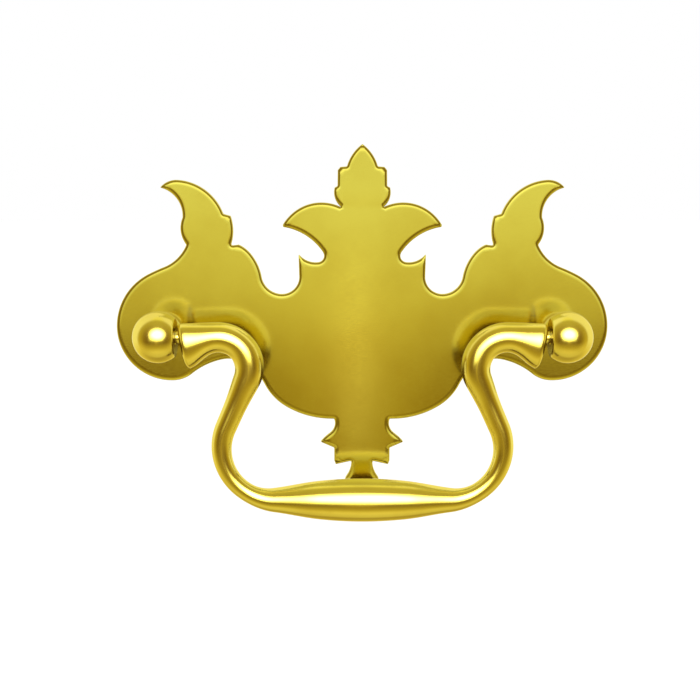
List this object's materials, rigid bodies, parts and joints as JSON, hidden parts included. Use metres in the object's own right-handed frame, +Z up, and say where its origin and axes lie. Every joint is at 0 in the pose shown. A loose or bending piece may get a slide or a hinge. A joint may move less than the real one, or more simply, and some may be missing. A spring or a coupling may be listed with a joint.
{
  "type": "bail pull",
  "caption": "Drawer bail pull: a brass backplate with a scalloped leaf outline, ball-headed posts on threaded studs with nuts, and a swan-neck bail that hangs and swings between them.",
  "frame": {"origin": "midway between the posts, on the back face of the backplate", "axes": "+X to the right along the line of the posts, +Z up, and the front faces -Y, so +Y points into the drawer front"},
  "size_m": [0.0958, 0.0398, 0.0713],
  "materials": {
    "satin_brass": "satin, with a fine polish and lightly rounded edges",
    "polished_brass": "polished",
    "plain_brass": "turned"
  },
  "bodies": {
    "plate_assembly": {"backplate": "satin_brass", "left_post": "polished_brass", "right_post": "polished_brass", "left_nut": "plain_brass", "right_nut": "plain_brass"},
    "bail": {"bail": "polished_brass"}
  },
  "joints": [
    {"name": "bail_swing", "type": "hinge", "parent": "plate_assembly", "child": "bail", "pos_m": [0, -0.011, 0], "axis": [-1, 0, 0], "range_deg": [-9.8, 189.8]}
  ]
}
